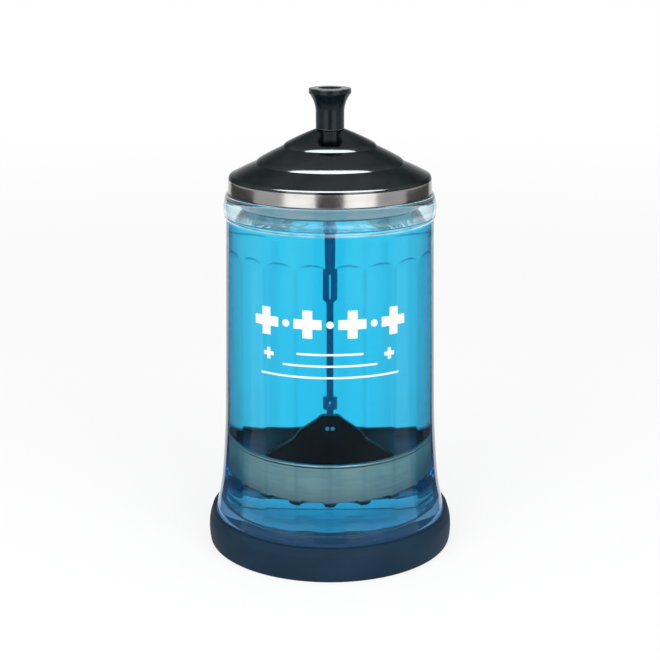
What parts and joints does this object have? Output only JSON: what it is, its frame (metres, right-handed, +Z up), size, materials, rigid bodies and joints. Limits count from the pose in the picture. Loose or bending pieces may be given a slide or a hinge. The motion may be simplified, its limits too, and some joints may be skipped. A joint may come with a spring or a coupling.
{
  "type": "disinfectant jar",
  "caption": "Glass jar with a panelled bore in a rubber base; a domed steel lid carries a knobbed rod that raises a perforated steel tray.",
  "frame": {"origin": "centre of the face that the rubber base rests on", "axes": "+Z up along the axis of the jar; -Y is the front; the foot's web and the split paddle's width lie along X"},
  "size_m": [0.1132, 0.1132, 0.2095],
  "materials": {
    "jar_glass": "pressed, clear, fire-polished",
    "base_rubber": "moulded, dark navy, matt",
    "lid_steel": "spun stainless sheet, polished",
    "ring_steel": "pressed stainless sheet",
    "bush_plastic": "natural, turned",
    "fastener_steel": "bright stainless",
    "knob_plastic": "moulded, near-black, satin gloss",
    "rod_plastic": "moulded, near-black, satin gloss",
    "tray_steel": "drawn stainless sheet, brushed round its wall"
  },
  "bodies": {
    "jar": {"glass_jar": "jar_glass", "rubber_base": "base_rubber"},
    "lid": {"lid_shell": "lid_steel", "lid_plug_ring": "ring_steel", "rod_bush": "bush_plastic", "bush_clip": "fastener_steel"},
    "lifter": {"knob": "knob_plastic", "knob_cap": "knob_plastic", "knob_screw": "fastener_steel", "lift_rod": "rod_plastic", "foot_web": "rod_plastic", "web_rivets": "fastener_steel", "tray": "tray_steel", "tray_screws": "fastener_steel", "tray_washers": "fastener_steel"}
  },
  "joints": [
    {"name": "lid_lift", "type": "slide", "parent": "jar", "child": "lid", "axis": [0, 0, 1], "range_m": [0, 0.15]},
    {"name": "tray_lift", "type": "slide", "parent": "lid", "child": "lifter", "axis": [0, 0, 1], "range_m": [0, 0.114]}
  ]
}
